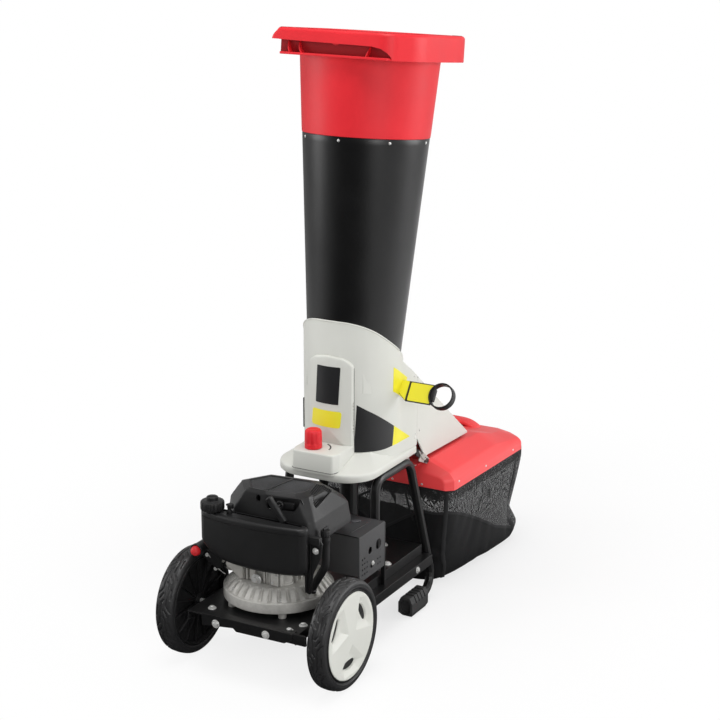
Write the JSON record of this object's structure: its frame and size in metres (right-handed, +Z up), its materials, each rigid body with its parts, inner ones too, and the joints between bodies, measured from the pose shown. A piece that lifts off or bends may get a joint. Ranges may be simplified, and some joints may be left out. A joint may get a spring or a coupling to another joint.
{
  "type": "garden shredder",
  "caption": "Wheeled petrol garden shredder with a tall leaning feed hopper, a belt-driven cutting head and a catcher bag behind it.",
  "frame": {"origin": "middle of the machine's base, on the floor under the centre of its bounding box", "axes": "+Z up, -Y towards the engine and wheels, +Y towards the catcher bag, +X towards the side with the gate's pull ring"},
  "size_m": [0.4794, 1.121, 1.3926],
  "materials": {
    "red_plastic": "moulded, satin",
    "grey_plastic": "moulded, fine grain",
    "black_plastic": "moulded, fine grain",
    "black_paint": "powder coat",
    "hopper_black": "satin paint",
    "bright_steel": "zinc plated",
    "cast_alloy": "as cast",
    "tyre": "moulded tread",
    "rubber": "moulded",
    "red_rubber": "moulded, smooth",
    "rope": "braided",
    "yellow_plate": "bare yellow face",
    "bag_fabric": "woven mesh above, dense cloth below"
  },
  "bodies": {
    "machine": {"deck": "black_paint", "belt_guard": "black_paint", "front_crossbar": "black_paint", "left_rail": "black_paint", "right_rail": "black_paint", "left_frame_hoop": "black_paint", "right_frame_hoop": "black_paint", "left_foot": "rubber", "right_foot": "rubber", "wheel_axle": "bright_steel", "muffler_guard": "black_paint", "guard_post": "black_paint", "cutter_deck": "black_paint", "bearing_housing": "black_paint", "lower_bearing": "bright_steel", "upper_bearing": "bright_steel", "housing_shell": "grey_plastic", "hopper_tube": "hopper_black", "hopper_funnel": "red_plastic", "gate_guide": "black_plastic", "flap_hinge_pin": "bright_steel", "drive_belt": "rubber", "engine_sump": "cast_alloy", "crankcase": "cast_alloy", "cylinder_block": "cast_alloy", "cylinder_head": "cast_alloy", "spark_plug_cap": "rubber", "muffler": "black_paint", "air_filter_box": "black_plastic", "cowling": "black_plastic", "reel_post": "bright_steel", "fuel_tank": "black_plastic", "oil_filler_tube": "black_plastic", "left_bag_hook": "bright_steel", "right_bag_hook": "bright_steel"},
    "left_wheel": {"left_tyre": "tyre", "left_wheel_hub": "grey_plastic"},
    "right_wheel": {"right_tyre": "tyre", "right_wheel_hub": "grey_plastic"},
    "rotor": {"rotor_shaft": "bright_steel", "rotor_pulley": "bright_steel", "rotor_disc": "bright_steel", "cutter_blade_1": "bright_steel", "cutter_blade_2": "bright_steel"},
    "crank": {"crankshaft": "bright_steel", "engine_pulley": "bright_steel", "flywheel": "cast_alloy"},
    "flap": {"discharge_flap": "grey_plastic"},
    "gate": {"slide_gate": "yellow_plate", "gate_ring": "black_plastic"},
    "knob": {"control_knob": "red_plastic"},
    "tank_cap": {"fuel_cap": "black_plastic"},
    "oil_stick": {"dipstick": "black_plastic"},
    "primer": {"primer_bulb": "red_rubber"},
    "reel": {"recoil_reel": "black_plastic"},
    "starter": {"starter_grip": "black_plastic", "starter_rope": "rope"},
    "bag": {"bag_hood": "red_plastic", "bag_body": "bag_fabric", "bag_frame": "bright_steel"}
  },
  "joints": [
    {"name": "left_wheel_spin", "type": "hinge", "parent": "machine", "child": "left_wheel", "pos_m": [-0.21475, -0.4355, 0.125], "axis": [1, 0, 0], "continuous": true},
    {"name": "right_wheel_spin", "type": "hinge", "parent": "machine", "child": "right_wheel", "pos_m": [0.17725, -0.4355, 0.125], "axis": [1, 0, 0], "continuous": true},
    {"name": "rotor_spin", "type": "hinge", "parent": "machine", "child": "rotor", "pos_m": [-0.01875, -0.0575, 0.4], "axis": [0, 0, 1], "continuous": true},
    {"name": "crank_spin", "type": "hinge", "parent": "machine", "child": "crank", "pos_m": [-0.01875, -0.3805, 0.127], "axis": [0, 0, 1], "continuous": true},
    {"name": "flap_hinge", "type": "hinge", "parent": "machine", "child": "flap", "pos_m": [-0.01875, 0.0545, 0.5828], "axis": [1, 0, 0], "range_deg": [0, 60]},
    {"name": "gate_slide", "type": "slide", "parent": "machine", "child": "gate", "axis": [1, 0, 0], "range_m": [-0.03, 0.05]},
    {"name": "knob_turn", "type": "hinge", "parent": "machine", "child": "knob", "pos_m": [-0.03575, -0.194, 0.4523], "axis": [0, 0, 1], "range_deg": [0, 90]},
    {"name": "fuel_cap_turn", "type": "hinge", "parent": "machine", "child": "tank_cap", "pos_m": [-0.13075, -0.4735, 0.3722], "axis": [0, 0, 1], "range_deg": [0, 120]},
    {"name": "dipstick_pull", "type": "slide", "parent": "machine", "child": "oil_stick", "axis": [0, 0, 1], "range_m": [0, 0.032]},
    {"name": "primer_press", "type": "slide", "parent": "machine", "child": "primer", "axis": [0, 1, 0], "range_m": [0, 0.004], "stiffness_N_per_m": 400},
    {"name": "reel_turn", "type": "hinge", "parent": "machine", "child": "reel", "pos_m": [-0.01875, -0.3805, 0.398], "axis": [0, 0, -1], "range_deg": [0, 70], "stiffness_Nm_per_rad": 0.02},
    {"name": "starter_pull", "type": "slide", "parent": "machine", "child": "starter", "axis": [0, -1, 0], "range_m": [0, 0.05]},
    {"name": "bag_slide", "type": "slide", "parent": "machine", "child": "bag", "axis": [0, 1, 0], "range_m": [0, 0.3]}
  ],
  "couplings": [
    {"joint": "crank_spin", "follows": "rotor_spin", "ratio": 1.542},
    {"joint": "starter_pull", "follows": "reel_turn", "m_per_rad": 0.0408}
  ]
}
